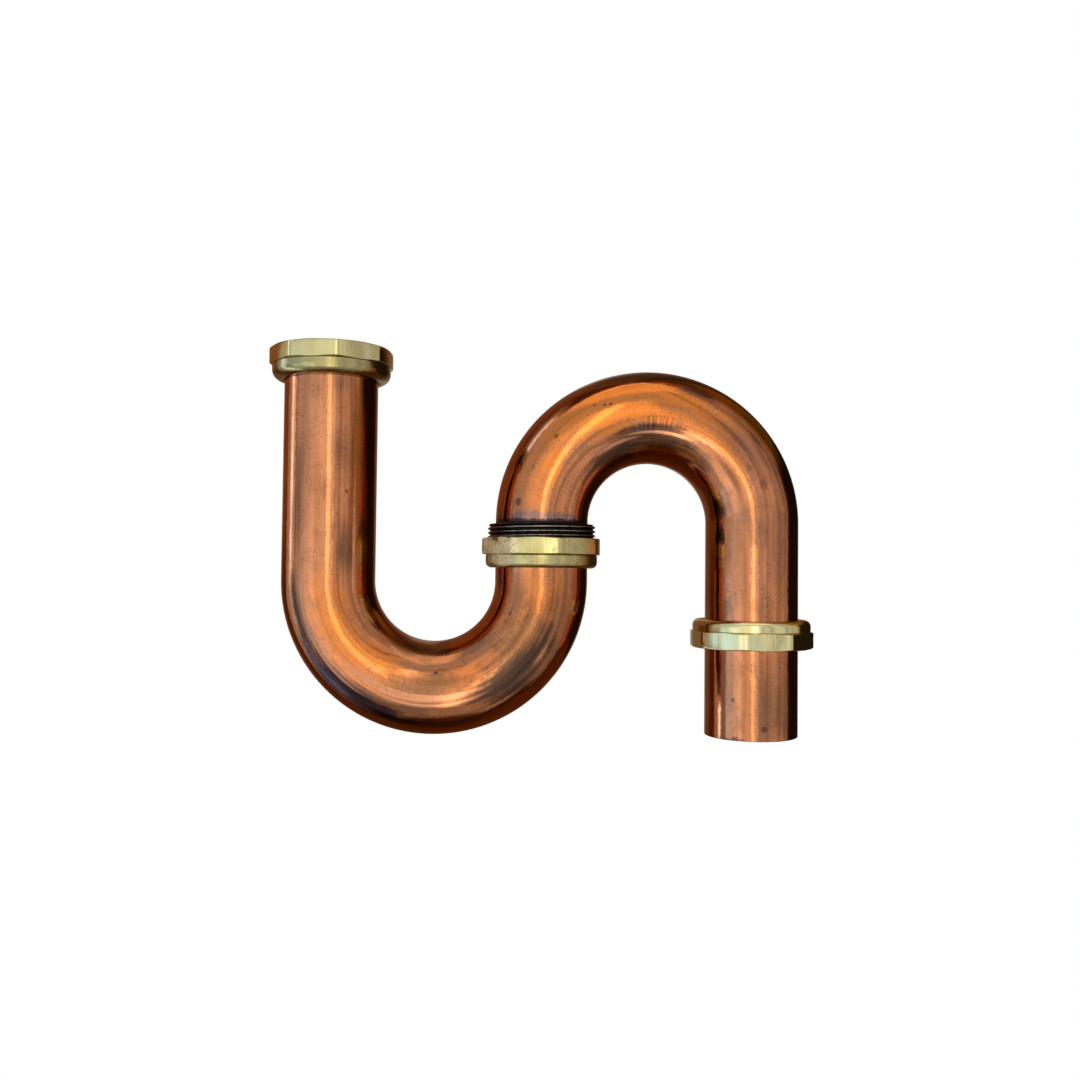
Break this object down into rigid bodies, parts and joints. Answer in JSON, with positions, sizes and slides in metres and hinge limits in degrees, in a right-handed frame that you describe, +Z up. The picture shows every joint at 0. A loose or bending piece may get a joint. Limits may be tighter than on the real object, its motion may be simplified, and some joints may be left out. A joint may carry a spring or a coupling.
{
  "type": "s trap",
  "caption": "Copper S trap: a U bend and an inverted bend with a long outlet tail, joined by a brass union, with octagonal brass nuts at inlet and outlet.",
  "frame": {"origin": "middle of the inlet seat: the top face of the inlet washer, on the inlet's axis", "axes": "+Z up out of the inlet, +X towards the outlet tail, the tube's centre line in the XZ plane"},
  "size_m": [0.2988, 0.0656, 0.2103],
  "materials": {
    "copper": "polished copper tube with draw lines and heat tarnish",
    "brass": "polished pale brass with fine brushing",
    "cast_brass": "pale brass, pitted and mottled",
    "dark_brass": "black oxide on brass, bright on the thread crests",
    "rubber": "matt black rubber"
  },
  "bodies": {
    "inlet_bend": {"inlet_bend": "copper", "inlet_washer": "rubber"},
    "inlet_nut": {"inlet_nut": "brass"},
    "union_nut": {"union_nut": "cast_brass"},
    "union_washer": {"union_washer": "rubber"},
    "outlet_bend": {"outlet_bend": "copper", "union_ferrule": "dark_brass"},
    "outlet_ring": {"outlet_ring": "rubber"},
    "outlet_nut": {"outlet_nut": "brass"}
  },
  "joints": [
    {"name": "inlet_nut_turn", "type": "hinge", "parent": "inlet_bend", "child": "inlet_nut", "pos_m": [0, 0, 0], "axis": [0, 0, 1], "continuous": true},
    {"name": "union_nut_turn", "type": "hinge", "parent": "inlet_bend", "child": "union_nut", "pos_m": [0.1169, 0, -0.1], "axis": [0, 0, -1], "range_deg": [0, 1440]},
    {"name": "union_swivel", "type": "hinge", "parent": "inlet_bend", "child": "union_washer", "pos_m": [0.1169, 0, -0.1], "axis": [0, 0, 1], "range_deg": [-140, 140]},
    {"name": "union_part", "type": "slide", "parent": "union_washer", "child": "outlet_bend", "axis": [0, 0, 1], "range_m": [0, 0.00924]},
    {"name": "outlet_ring_slide", "type": "slide", "parent": "outlet_bend", "child": "outlet_ring", "axis": [0, 0, 1], "range_m": [-0.048, 0.05]},
    {"name": "outlet_nut_turn", "type": "hinge", "parent": "outlet_ring", "child": "outlet_nut", "pos_m": [0.2338, 0, -0.14], "axis": [0, 0, 1], "continuous": true}
  ],
  "couplings": [
    {"joint": "union_nut_turn", "follows": "union_part", "rad_per_m": 2721.2}
  ]
}
